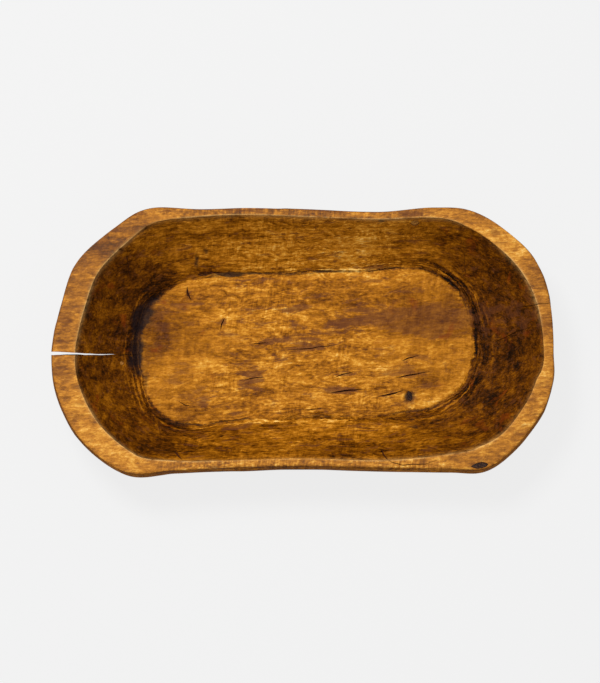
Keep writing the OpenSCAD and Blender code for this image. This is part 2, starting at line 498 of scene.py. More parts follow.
@dataclass
class ToolMarks:
    """What the adze, the gouge and the saw left on the skin, as depths in millimetres.

    Attributes:
        form: The bowl's sizes.
        facet: Height of the broad flats that the adze leaves.
        scoop: Depth of the gouge's scoops.
        chop: Height of the torn ridges where the walls meet the floor.
        ridge_gap: Distance between torn ridges.
        channel: Depth of the channel that the gouge cut along the heel.
        dent: Depth of the broad dents in the outside.
        rim_wave: How far the rim's flat rises and falls.
        chip: Deepest chip in the outer edge, as a share of its distance from the middle.
        notch: How far the long chip is broken back from the near edge.
        notch_start: Where the long chip starts along the bowl.
        notch_end: Where it ends.
    """

    form: TroughForm
    facet: float = 0.9
    scoop: float = 0.8
    chop: float = 1.3
    ridge_gap: float = 3.6
    channel: float = 1.0
    dent: float = 1.2
    rim_wave: float = 0.6
    chip: float = 0.0045
    notch: float = 2.4
    notch_start: float = -71.0
    notch_end: float = 8.0

    def run_from_heel(self) -> Array:
        """Distance of each point from the heel along its section.

        Returns:
            The distances in millimetres, negative on the floor.
        """
        grid = self.form.grid
        steps = np.linalg.norm(np.diff(grid, axis=0), axis=2)
        run = np.vstack([np.zeros((1, grid.shape[1])), np.cumsum(steps, axis=0)])
        return run[self.form.heel_row] - run

    def carve(self) -> Array:
        """The grid with every mark carved into it.

        Returns:
            The marked grid, in millimetres.
        """
        grid = self.form.grid
        zone = self.form.zones[:, None]
        inside = (zone >= Zone.WALL.value).astype(float)
        outside = (zone <= Zone.OUTSIDE.value).astype(float)
        on_rim = (zone == Zone.RIM.value).astype(float)
        heel_run = self.run_from_heel()
        depth = self._flats(grid) * (inside + outside)
        depth += self._scoops(grid, heel_run) * inside
        depth += self._chops(grid, heel_run) * inside
        depth -= self.dent * outside * np.maximum(Noise(5).at(grid, (46, 30, 20)), 0)
        lip_fade = smoothstep(0.0, 12.0, np.abs(self.form.height - grid[..., 2]))
        marked = grid + grid_normals(grid) * (depth * lip_fade)[..., None]
        marked[..., 2] += on_rim * self.rim_wave * (Noise(8).layered(grid, (70, 50, 50)) - 1)
        marked = self._notch_edge(marked)
        marked[..., :2] *= 1 - (self.chip * self._chips(grid, on_rim))[..., None]
        flat = (zone == Zone.FOOT.value) | (grid[..., 2] < 0.2)
        marked[..., 2] = np.where(flat, grid[..., 2], np.maximum(marked[..., 2], 0))
        return marked

    def _flats(self, grid: Array) -> Array:
        """Broad uneven flats."""
        return self.facet * Noise(1).layered(grid, (64, 34, 34), 2)

    def _scoops(self, grid: Array, heel_run: Array) -> Array:
        """Hollow strokes that run down the walls and along the floor.

        Args:
            grid: The unmarked grid.
            heel_run: Distance from the heel along each section.

        Returns:
            The depth at each point, below 0 where wood is taken away.
        """
        on_wall = smoothstep(-4.0, 6.0, heel_run)
        count = grid.shape[1]
        around = np.arange(count) / count * 1500.0
        place = np.stack([np.broadcast_to(around, grid.shape[:2]), heel_run, grid[..., 2]], -1)
        down = np.abs(Noise(2).at(place, (15, 46, 200)))
        along = np.abs(Noise(3).at(grid, (52, 13, 200)))
        return -self.scoop * mix(0.6 * along, down, on_wall)

    def _chops(self, grid: Array, heel_run: Array) -> Array:
        """Torn ridges and a channel along the heels, strongest at the two ends.

        Args:
            grid: The unmarked grid.
            heel_run: Distance from the heel along each section.

        Returns:
            The height at each point, below 0 where wood is taken away.
        """
        waver = 0.9 * Noise(4).layered(grid, (26, 26, 26))
        wave = (heel_run / self.ridge_gap + waver) % 1.0
        ridge = 1.0 - np.abs(2.0 * wave - 1.0)
        ends = smoothstep(0.3, 0.9, self.form.endness())[None, :]
        band = bump_at(heel_run, 3.0, mix(7.0, 15.0, ends))
        broken = np.clip(0.55 + 0.8 * Noise(6).at(grid, (14, 14, 14)), 0, 1)
        torn = self.chop * mix(0.35, 1.0, ends) * band * broken * (ridge - 0.6)
        channel = self.channel * mix(0.4, 1.0, ends) * bump_at(heel_run, 4.0, 4.0)
        return torn * self.torn_share(grid) - channel

    @staticmethod
    def torn_share(grid: Array) -> Array:
        """How badly the heel is torn, which is least at the left end."""
        return mix(0.22, 1.0, smoothstep(-140.0, 60.0, grid[..., 0]))

    def _chips(self, grid: Array, on_rim: Array) -> Array:
        """Small chips in the rim's outer edge.

        Args:
            grid: The unmarked grid.
            on_rim: 1 for each ring of the rim, or else 0.

        Returns:
            How deep the chip is at each point, as a share of the deepest.
        """
        rows = np.arange(grid.shape[0])[:, None]
        first = self.form.first_row(Zone.RIM)
        edge = bump_at(rows, first + 1, 2.2) * (on_rim + (rows < first))
        return edge * np.maximum(Noise(10).layered(grid, (17, 17, 40)) - 0.1, 0)

    def _notch_edge(self, grid: Array) -> Array:
        """Breaks the long chip out of the near outer edge.

        Args:
            grid: The grid so far.

        Returns:
            The grid with the chip broken out.
        """
        x, y, z = grid[..., 0], grid[..., 1], grid[..., 2]
        start = smoothstep(self.notch_start - 1, self.notch_start + 1, x)
        end = 1 - smoothstep(self.notch_end - 30, self.notch_end, x)
        near = (y < -100) & (z > self.form.belly_height)
        outer = smoothstep(-self.form.width / 2 + 12, -self.form.width / 2 + 6, -np.abs(y)) * near
        rough = 0.8 + 0.4 * Noise(9).at(grid, (6, 6, 6))
        amount = self.notch * start * end * outer * rough * smoothstep(70, 84, z)
        out = grid.copy()
        out[..., 1] += amount
        out[..., 2] -= 0.6 * amount
        return out


@dataclass(frozen=True)
class Stain:
    """A patch of darker or lighter wood, in millimetres and shares of tone.

    Attributes:
        x: Place of its middle along the bowl.
        y: Place of its middle across the bowl.
        length: Its reach along the grain.
        width: Its reach across the grain.
        tone: What it adds to the tone at its middle.
    """

    x: float
    y: float
    length: float
    width: float
    tone: float


def stains_at(*rows: tuple[float, ...]) -> tuple[Stain, ...]:
    """Makes a stain from each row of its place, its reach and its tone."""
    return tuple(Stain(*row) for row in rows)


@dataclass
class WoodTones:
    """How dark the stained wood is over the whole skin, where it is torn, smeared or worn, and its painted
    lip highlight.

    Attributes:
        form: The bowl's sizes.
        floor: Tone of the floor, where 0 is nearly black and 1 is pale.
        side_wall: Tone of the side walls, which take the stain evenly.
        end_wall: Tone of the end walls, whose end grain drank more stain.
        rim: Tone of the sawn rim.
        outside: Tone of the outside.
        floor_stains: Darker and lighter patches of the floor.
        wall_stains: Darker and lighter patches of the walls.
        rim_stains: Darker and lighter patches of the rim.
        smears: Black smears.
        umber: Places where the stain lies thick.
    """

    form: TroughForm
    floor: float = 0.645
    side_wall: float = 0.555
    end_wall: float = 0.28
    rim: float = 0.62
    outside: float = 0.44
    floor_stains: tuple[Stain, ...] = stains_at(
        (-28, 27, 14, 9, -0.07), (45, 27, 26, 7, -0.07), (132, 2, 16, 11, -0.06), (-112, -2, 13, 13, -0.08),
        (59, -27, 12, 6, -0.06), (88, -44, 12, 7, -0.06), (-64, -80, 54, 7, -0.08), (84, 28, 70, 15, -0.08),
        (-4, 10, 36, 9, -0.07), (150, 8, 40, 20, -0.03), (-13, 25, 8, 10, -0.16), (-42, 5, 14, 4, -0.12),
        (118, -24, 18, 8, -0.07), (-58, -32, 22, 12, -0.05), (50, 60, 90, 14, -0.11),
        (140, 40, 40, 22, -0.07), (-130, -50, 26, 16, -0.04), (70, -52, 26, 7, -0.08),
        (-110, 58, 50, 16, -0.09), (-40, 60, 60, 14, -0.08), (-130, 30, 34, 24, -0.12),
        (-162, 22, 15, 28, -0.26), (-177, 0, 8, 44, -0.16), (45, 23, 22, 9, -0.18),
        (162, 26, 20, 14, -0.06), (140, -4, 30, 10, 0.06), (104, 1, 26, 10, 0.09),
        (-100, -24, 30, 10, 0.05), (75, -30, 14, 8, -0.13), (150, -40, 26, 16, -0.13),
        (6, -68, 44, 8, -0.15), (75, -68, 30, 8, -0.10), (-130, -70, 36, 9, -0.10),
        (-162, 2, 14, 14, -0.12), (-120, 4, 50, 12, -0.06), (130, -66, 24, 8, 0.15), (45, 22, 16, 8, -0.08),
        (168, 58, 12, 10, -0.22), (-134, -84, 18, 8, -0.14), (100, -28, 14, 8, 0.06),
    )
    wall_stains: tuple[Stain, ...] = stains_at(
        (-203, -8, 13, 34, -0.09), (-148, 78, 14, 9, -0.12), (176, 60, 12, 10, -0.07),
        (-166, 66, 18, 12, -0.16), (172, 92, 30, 22, -0.02), (118, 108, 60, 14, -0.05),
        (-60, 124, 60, 7, -0.07), (0, 108, 120, 20, 0.13), (55, -118, 36, 18, -0.15),
        (-90, -108, 40, 14, -0.07), (190, -104, 24, 16, -0.02), (-150, 128, 40, 10, -0.10),
        (120, 120, 60, 16, 0.06), (60, 112, 40, 14, 0.06), (-205, -60, 30, 40, 0.04),
        (-190, 100, 20, 20, 0.05), (-201, -22, 6, 5, 0.16), (214, 60, 20, 30, -0.05),
        (204, -66, 30, 30, -0.09), (110, -120, 50, 8, -0.05), (-130, -122, 40, 10, -0.10),
        (88, 136, 12, 5, -0.25), (-110, -92, 50, 10, -0.12), (0, 126, 70, 8, 0.08),
        (-100, 87, 20, 8, -0.13), (60, -124, 60, 8, -0.10), (150, 96, 24, 14, 0.10),
        (-150, -118, 30, 14, -0.10), (-140, 112, 20, 16, 0.09), (-120, 118, 16, 12, -0.05),
        (225, 5, 14, 26, -0.06), (236, -16, 14, 22, -0.10), (204, -86, 24, 12, -0.10),
        (-134, -86, 18, 10, -0.14),
    )
    rim_stains: tuple[Stain, ...] = stains_at(
        (-226, 104, 46, 32, -0.28), (-262, 34, 24, 44, -0.13), (-178, 122, 30, 14, -0.16),
        (-214, -120, 40, 26, 0.14), (-262, -60, 20, 34, -0.04), (-40, 142, 90, 12, -0.15),
        (226, 108, 30, 30, 0.10), (262, 70, 14, 18, -0.14), (190, -128, 30, 14, -0.06),
        (120, -136, 70, 12, 0.03), (250, -84, 26, 26, 0.05), (268, 0, 10, 40, 0.05),
        (-130, 140, 40, 10, -0.10),
    )
    smears: tuple[Stain, ...] = stains_at(
        (-181, 34, 12, 14, 1.1), (-188, -8, 10, 27, 0.95), (-168, 54, 12, 10, 0.4), (119, -56, 7, 7, 0.7),
        (-176, -40, 5, 16, 0.45), (-163, -66, 8, 5, 0.4), (-90, 81, 20, 2.6, 1.0), (-50, 83, 30, 2, 0.6),
        (-160, 14, 12, 18, 0.25), (188, 34, 6, 20, 0.3), (130, 90, 26, 3, 0.3), (40, 85, 60, 2, 0.6),
        (-130, 60, 3, 5, 0.6), (128, -92, 16, 4, 0.45), (87, 133, 6, 4, 0.7), (-119, 93, 4, 7, 0.6),
        (-108, 106, 5, 8, 0.5), (-206, 104, 5, 6, 0.4),
    )
    umber: tuple[Stain, ...] = stains_at(
        (112, 30, 62, 13, 1.1), (156, 26, 22, 12, 0.9), (-4, 10, 30, 7, 0.7), (-115, -64, 10, 6, 0.9),
        (-145, -40, 8, 5, 0.9), (45, 23, 18, 7, 0.9), (140, -44, 14, 5, 0.7), (-30, 42, 60, 3, 0.7),
        (-42, 6, 12, 4, 1.0), (-13, 27, 6, 8, 1.0), (-58, -32, 16, 8, 0.7), (118, -24, 12, 6, 0.9),
        (-120, -50, 16, 10, 0.8), (-160, 22, 14, 22, 1.0), (48, -50, 21, 3.4, 1.3), (46, -31, 12, 3, 1.2),
        (101, -53, 16, 3, 1.2), (122, -32, 22, 3.2, 1.3), (10, -2, 26, 2.8, 1.2), (132, -12, 13, 3.4, 1.2),
        (122, -56, 7, 9, 0.9), (-129, 60, 5, 7, 0.8), (-91, 26, 4, 7, 0.7), (-140, -28, 18, 10, 0.4),
        (70, -52, 20, 5, 0.5), (-262, 22, 9, 28, 1.1), (-262, -42, 9, 12, 0.6), (-225, 112, 30, 12, 0.7),
        (-70, 146, 60, 4, 0.7), (258, 80, 9, 12, 1.1), (30, 146, 50, 3, 0.7), (238, -104, 10, 6, 0.6),
        (120, 140, 24, 4, 0.7), (-90, -138, 20, 5, 0.6), (20, -142, 30, 4, 0.6), (-266, -22, 5, 8, 0.9),
        (-240, 70, 14, 20, 0.5), (196, 138, 8, 3, 0.9), (212, 122, 7, 5, 0.8), (268, -52, 4, 6, 0.8),
        (-180, 140, 20, 5, 0.6), (190, -137, 16, 5, 0.7), (-250, -84, 12, 10, 0.5), (250, -76, 6, 8, 0.6),
    )

    def paint(self, grid: Array, heel_run: Array) -> dict[str, Array]:
        """The values that the finish reads at each point of the skin.

        Args:
            grid: The marked skin.
            heel_run: Distance from the heel along each section, in millimetres.

        Returns:
            A value for each point, by name.
        """
        zone = np.broadcast_to(self.form.zones[:, None], grid.shape[:2])
        on_rim = zone == Zone.RIM.value
        inside = zone >= Zone.WALL.value
        ends = smoothstep(0.30, 0.86, self.form.endness())[None, :]
        ends = np.clip(ends + 0.22 * Noise(21).layered(grid, (60, 40, 40)), 0, 1)
        wall = mix(self.side_wall, self.end_wall, ends) + self._spread(grid, self.wall_stains, 23)
        tone = np.where(inside, wall, self.outside)
        tone = np.where(on_rim, self.rim + self._spread(grid, self.rim_stains, 24), tone)
        deep = self._deep_stain(grid)
        floor_tone = self.floor + self._spread(grid, self.floor_stains, 27) - 0.09 * deep
        smear = inside * self._spread(grid, self.smears, 28)
        return {
            "tone": np.clip(tone, 0, 1),
            "floor_tone": np.clip(floor_tone, 0, 1),
            "on_rim": on_rim.astype(float),
            "outside": (zone <= Zone.OUTSIDE.value).astype(float),
            "ends": ends,
            "heel_run": np.clip(heel_run, -60, 60) * MM,
            "smear": np.clip(smear, 0, 1),
            "umber": np.clip(self._spread(grid, self.umber, 29) + 0.5 * deep, 0, 1.2),
            # The rim's inner edge: rubbed finish, with the edge's highlight painted in as pale wood.
            "worn_lip_and_highlight": self._worn_lip_and_highlight(grid),
            "torn": ToolMarks.torn_share(grid),
        }

    @staticmethod
    def _spread(grid: Array, stains: Iterable[Stain], seed: int) -> Array:
        """The sum of a list of stains with wavy edges.

        Args:
            grid: The marked skin.
            stains: The stains.
            seed: Which random waves to use.

        Returns:
            The sum of their tones at each point.
        """
        sway_along = Noise(seed).layered(grid, (24, 10, 24))
        sway_across = Noise(seed + 50).layered(grid, (24, 10, 24))
        total = np.zeros(grid.shape[:2])
        for stain in stains:
            along = grid[..., 0] - stain.x + min(9.0, 0.5 * stain.length) * sway_along
            across = grid[..., 1] - stain.y + min(4.0, 0.4 * stain.width) * sway_across
            total += stain.tone * bump_at(along, 0, stain.length) * bump_at(across, 0, stain.width)
        return total

    @staticmethod
    def _deep_stain(grid: Array) -> Array:
        """The long patch of the floor where the stain went in deeper, with a clear near edge.

        Args:
            grid: The marked skin.

        Returns:
            The share of the patch at each point.
        """
        along = grid[..., 0] + 12 * Noise(33).layered(grid, (30, 12, 30))
        across = grid[..., 1] + 3 * Noise(34).layered(grid, (40, 12, 40))
        near_edge = smoothstep(10.0, 15.0, across + 0.03 * (along - 120.0))
        return near_edge * (1 - smoothstep(40.0, 58.0, across)) * smoothstep(64.0, 112.0, along)

    def _worn_lip_and_highlight(self, grid: Array) -> Array:
        """How far the finish is rubbed off the rim's inner edge, with a highlight painted along that edge,
        both least at the near right.

        Args:
            grid: The marked skin.

        Returns:
            The share of rubbed finish and painted highlight at each point.
        """
        rows = np.arange(grid.shape[0])[:, None]
        edge = bump_at(rows, self.form.first_row(Zone.WALL) - 1.2, 1.3)
        broken = np.clip(0.75 + 0.9 * Noise(26).layered(grid, (40, 40, 40)), 0, 1)
        near_right = smoothstep(190, 240, grid[..., 0]) * (1 - smoothstep(0, 40, grid[..., 1]))
        return np.clip(edge * broken * (1 - 0.7 * near_right), 0, 1)


class Shell:
    """Points and faces collected for one closed mesh."""

    def __init__(self) -> None:
        """Starts empty."""
        self.points: list[tuple[float, float, float]] = []
        self.faces: list[tuple[int, ...]] = []

    def add(self, points: Array, faces: Iterable[Sequence[int]]) -> None:
        """Adds one closed body.

        Args:
            points: Its points, in millimetres.
            faces: Its faces, counted from its own first point.
        """
        first = len(self.points)
        self.points += [tuple(p) for p in np.asarray(points, float)]
        self.faces += [tuple(first + i for i in face) for face in faces]

    def add_tube(self, rings: Array) -> None:
        """Adds a closed tube with flat ends through a stack of rings.

        Args:
            rings: Rings of the same number of points, in millimetres.
        """
        count, size = rings.shape[:2]
        faces: list[Sequence[int]] = []
        for row in range(count - 1):
            for k in range(size):
                low, nxt = row * size + k, row * size + (k + 1) % size
                faces.append((low, nxt, nxt + size, low + size))
        faces.append(tuple(reversed(range(size))))
        faces.append(tuple(range((count - 1) * size, count * size)))
        first, last = rings[0].mean(0), rings[-1].mean(0)
        turn = np.cross(rings[:, 0] - rings.mean(1), rings[:, 1] - rings.mean(1)).sum(0)
        if np.dot(turn, last - first) < 0:
            faces = [tuple(reversed(face)) for face in faces]
        self.add(rings.reshape(-1, 3), faces)

    def mesh(self, name: str) -> bpy.types.Mesh:
        """Makes the mesh, in metres.

        Args:
            name: The mesh's name.

        Returns:
            The new mesh.
        """
        data = bpy.data.meshes.new(name)
        data.from_pydata([tuple(c * MM for c in p) for p in self.points], [], self.faces)
        data.validate()
        return data


def new_piece(name: str, data: bpy.types.ID) -> bpy.types.Object:
    """Links a new object for a mesh, a light or a camera into the scene."""
    piece = bpy.data.objects.new(name, data)
    bpy.context.scene.collection.objects.link(piece)
    return piece


@dataclass(frozen=True)
class Split:
    """A narrow split in the surface, in millimetres.

    Attributes:
        path: Points that it runs through, seen from above.
        width: How wide it gapes at its middle.
        depth: How deep it goes.
    """

    path: tuple[Point, ...]
    width: float = 1.2
    depth: float = 3.0


@dataclass
class Surface:
    """Finds the height and slope of a skin from above.

    Attributes:
        tree: The skin's faces.
        top: Height to give for a place beyond the rim, in millimetres.
    """

    tree: BVHTree
    top: float

    def drop(self, x: float, y: float) -> tuple[Vector, Vector]:
        """The point of the skin under a place, and the direction it faces.

        Args:
            x: Place along the bowl, in millimetres.
            y: Place across the bowl, in millimetres.

        Returns:
            The point and its unit normal, in millimetres.
        """
        point, normal, _, _ = self.tree.ray_cast(Vector((x * MM, y * MM, 1.0)), Vector((0, 0, -1)))
        if point is None:
            return Vector((x, y, self.top)), Vector((0, 0, 1))
        return point / MM, normal if normal.z > 0 else -normal


def groove(split: Split, surface: Surface, seed: int) -> Array:
    """The rings of a V-shaped groove that follows a skin.

    Args:
        split: The split to cut.
        surface: The skin that it is cut in.
        seed: Which random waver to use.

    Returns:
        Rings of three points each, in millimetres.
    """
    spacing, waver, above_skin = 2.5, 0.9, 1.2
    path = np.array(split.path, float)
    run = line_run(path)
    count = max(8, int(run[-1] / spacing))
    at = np.linspace(0, run[-1], count)
    line = np.column_stack([np.interp(at, run, path[:, 0]), np.interp(at, run, path[:, 1])])
    place = lift(line, 10.0 * seed)
    along = np.gradient(line, axis=0)
    along /= np.linalg.norm(along, axis=1)[:, None]
    side = np.column_stack([-along[:, 1], along[:, 0]])
    ease = np.sin(np.pi * np.linspace(0, 1, count))
    line += side * (waver * Noise(seed).layered(place, (9, 9, 9)) * ease)[:, None]
    gape = split.width / 2 * (0.12 + 0.88 * ease**0.7)
    gape *= 1 + 0.35 * Noise(seed + 1).at(place, (6, 6, 6))
    rings = []
    for k in range(count):
        point, normal = surface.drop(*line[k])
        across = Vector((side[k][0], side[k][1], 0)).cross(normal).cross(normal).normalized()
        deep = split.depth * (0.25 + 0.75 * ease[k])
        above = point + normal * above_skin
        rings.append([above + across * gape[k], above - across * gape[k], point - normal * deep])
    return np.array([[tuple(p) for p in ring] for ring in rings])


@dataclass
class OpenCheck:
    """The open drying check that splits the left end wall right through.

    Attributes:
        form: The bowl's sizes.
        reach: Its length from the left end to its tip.
        gape: Its width at its mouth.
        place: Where its mouth is across the end.
        lean: Its lean from upright, towards the far side as it goes down, in degrees.
        open_share: Share of its length after which it is only a hairline.
        hairline: Half the width of the hairline.
        levels: Number of points from its bottom to its top.
        over: How far the cutter stands out past the wood.
    """

    form: TroughForm
    reach: float = 95.0
    gape: float = 4.0
    place: float = -15.0
    lean: float = 6.0
    open_share: float = 0.74
    hairline: float = 0.1
    levels: int = 12
    over: float = 4.0

    def cutter(self) -> Array:
        """The wedge that opens the check.

        Returns:
            Rings of points, in millimetres.
        """
        mouth = -self.form.length / 2 - 3
        tip = -self.form.length / 2 + self.reach
        none = np.zeros(self.levels)
        levels = np.linspace(-self.over, self.form.height + self.over, self.levels)
        lean = math.tan(math.radians(self.lean)) * (self.form.height - levels)
        rings = []
        for share in np.linspace(0, 1, 40):
            x = mix(mouth, tip, share)
            middle = self.place - 2.0 * share + 0.4 * math.sin(9 * share)
            half = self.gape / 2 * max(0.0, 1 - share / self.open_share) ** 0.9 + self.hairline
            here = np.column_stack([none + x, middle + lean, levels])
            waver = 0.35 * Noise(31).layered(here, (9, 9, 14))
            left = here + np.column_stack([none, half + waver, none])
            rough = np.minimum(0.3 * half, 0.3) * Noise(32).layered(here, (5, 5, 8))
            right = here + np.column_stack([none, waver - half + rough, none])
            rings.append(np.vstack([left, right[::-1]]))
        return np.array(rings)


class KnotOutline(Enum):
    """The two shapes in which a dead knot shows on the surface."""

    LENS = "lens"
    ROUND = "round"


@dataclass
class DeadKnot:
    """A dead knot held in a socket of its own.

    Attributes:
        node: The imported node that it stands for.
        slot: The record's material slot.
        outline: Its shape on the surface.
        length: Its length, in millimetres.
        width: Its width.
        depth: How deep it is rooted.
        turn: The direction of its length, in degrees from X.
        sunk: How far its face lies below the wood around it.
        room: The shrinkage gap round it.
        seed: Which random shape to use.
        sides: Number of points round it.
    """

    node: str
    slot: Slot
    outline: KnotOutline
    length: float
    width: float
    depth: float
    turn: float
    sunk: float
    room: float
    seed: int
    sides: int = 48

    def _middle(self) -> tuple[float, float]:
        """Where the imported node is, seen from above, in millimetres."""
        low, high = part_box(self.node)
        return (low.x + high.x) / 2 / MM, (low.y + high.y) / 2 / MM

    def _edge(self, grow: float) -> Array:
        """The knot's outline about its own middle.

        Args:
            grow: How far it is moved outwards, in millimetres.

        Returns:
            Its points, in millimetres.
        """
        angle = np.linspace(0, 2 * np.pi, self.sides, endpoint=False)
        point = 1.6 if self.outline is KnotOutline.LENS else 1.0
        across = np.sign(np.sin(angle)) * np.abs(np.sin(angle)) ** point
        edge = np.column_stack([self.length / 2 * np.cos(angle), self.width / 2 * across])
        edge *= (1 + 0.07 * Noise(self.seed).at(lift(edge, 0.0), (3, 3, 3)))[:, None]
        reach = np.linalg.norm(edge, axis=1)[:, None]
        edge *= 1 + grow / np.maximum(reach, 1.0)
        c, s = math.cos(math.radians(self.turn)), math.sin(math.radians(self.turn))
        return edge @ np.array([[c, s], [-s, c]])

    def _seated(self, rings: Sequence[Array], surface: Surface) -> Array:
        """Moves rings from the knot's own axes to its place on the skin.

        Args:
            rings: Rings along, across and out of the skin, in millimetres.
            surface: The skin that the knot sits in.

        Returns:
            The moved rings.
        """
        point, normal = surface.drop(*self._middle())
        along = (Vector((1, 0, 0)) - normal * normal.x).normalized()
        axes = np.array([tuple(along), tuple(normal.cross(along)), tuple(normal)])
        return np.array([ring @ axes + np.array(point) for ring in rings])

    def socket(self, surface: Surface) -> Array:
        """Rings of the socket's cutter, in millimetres.

        Args:
            surface: The skin that the socket is cut in.

        Returns:
            Two rings, from the bottom of the socket to above the skin.
        """
        edge = self._edge(self.room)
        return self._seated([lift(edge * 0.96, -self.depth - 0.2), lift(edge, 2.5)], surface)

    def build(self, surface: Surface) -> bpy.types.Object:
        """Makes the knot with a ringed and cracked face.

        Args:
            surface: The skin that the knot sits in.

        Returns:
            The new piece.
        """
        edge = self._edge(0.0)
        rings = [lift(edge * 0.9, -self.depth), lift(edge, -self.depth * 0.5)]
        rings += [self._face_ring(edge * share, share) for share in np.linspace(1, 0.06, 16)]
        shell = Shell()
        shell.add_tube(self._seated(rings, surface))
        piece = new_piece(self.node + "_wood", shell.mesh(self.node + "_wood"))
        piece.data.shade_smooth()
        piece.data.set_sharp_from_angle(angle=math.radians(50))
        return piece

    def _face_ring(self, ring: Array, share: float) -> Array:
        """A ring of the knot's face with its growth rings, cracks and rough grain.

        Args:
            ring: The flat ring.
            share: Its size as a share of the knot's outline.

        Returns:
            The ring with its heights.
        """
        grown = 0.14 * math.sin(share * 26)
        angle = np.arctan2(ring[:, 1], ring[:, 0])
        crack = 0.7 * bump_at(np.sin(1.5 * (angle - self.seed)), 0.0, 0.12) * (1 - share)
        rough = 0.2 * Noise(self.seed + 3).layered(lift(ring, 0.0), (1.6, 1.6, 1.6))
        round_off = 5.0 * max(0.0, share - 0.9)
        return lift(ring, -self.sunk + grown - crack + rough - round_off)


# Every split and hairline check in the bowl, apart from the open one
SPLITS: tuple[Split, ...] = (
    Split(((29, -53), (48, -50), (69, -48)), 3.2, 2.6),
    Split(((35, -35), (46, -31), (57, -29)), 2.4, 2.2),
    Split(((-16, -4), (8, -2), (37, 2)), 1.9, 2.2),
    Split(((-67, -38), (-55, -36), (-42, -35)), 2.0, 2.0),
    Split(((103, -36), (122, -32), (144, -28)), 2.2, 2.4),
    Split(((84, -57), (100, -54), (114, -49)), 2.6, 2.4),
    Split(((-4, -72), (10, -71), (25, -70)), 1.4, 2.0),
    Split(((-58, 3), (-48, 4), (-37, 4)), 1.8, 2.0),
    Split(((-93, 19), (-92, 25), (-88, 33)), 2.4, 2.2),
    Split(((-131, 68), (-130, 60), (-126, 52)), 3.2, 2.4),
    Split(((-140, -62), (-134, -66), (-126, -68)), 1.8, 2.0),
    Split(((111, -17), (120, -13), (131, -10)), 2.2, 2.0),
    Split(((70, 84), (90, 88), (112, 90)), 1.6),
    Split(((-20, 83), (8, 85), (36, 86)), 1.5),
    Split(((-120, 82), (-104, 84), (-84, 83)), 2.0),
    Split(((-142, -120), (-137, -126), (-132, -131)), 3.0, 2.8),
    Split(((-73, -152), (-73, -145), (-72, -139)), 1.2, 2.0),
    Split(((-214, -12.6), (-200, -11.2), (-186, -9.8)), 0.9, 2.0),
    Split(((214, 3), (226, 8), (238, 13), (252, 16)), 1.2, 2.0),
    Split(((-162, -80), (-161, -92), (-158, -104)), 1.3, 1.8),
    Split(((-169, -74), (-167, -85), (-166, -95)), 1.0, 1.5),
    Split(((-197, 100), (-194, 86), (-192, 66)), 1.4, 1.5),
    Split(((178, 118), (181, 96), (184, 72)), 1.0, 1.2),
    Split(((276, 41), (262, 40), (248, 39), (234, 39)), 0.9, 5.0),
    Split(((86, -120), (89, -128), (96, -134), (108, -137), (134, -136), (148, -131)), 1.4, 2.5),
    Split(((86, -118), (89, -127), (93, -131)), 2.8, 3.0),
)


# Turn of the grain from X, in degrees
GRAIN_TILT = -3.0


@dataclass(frozen=True)
class Swells:
    """A random pattern that a finish is mixed from.

    Attributes:
        stretch: Swells in a metre along X, Y and Z.
        detail: How many finer layers to add.
        pull: How far the swells are pulled about.
        pick: Which set of swells to use.
        tilt: Turn of the pattern about Z, in degrees.
        harsh: Share of height that each finer layer keeps.
        strength: How much of the pattern goes into the tone.
        cut: Values between which a pattern that is cut to patches goes from none to full.
    """

    stretch: tuple[float, float, float]
    detail: float
    pull: float
    pick: float = 0.0
    tilt: float = 0.0
    harsh: float = 0.5
    strength: float = 0.0
    cut: tuple[float, float] = (0.0, 1.0)


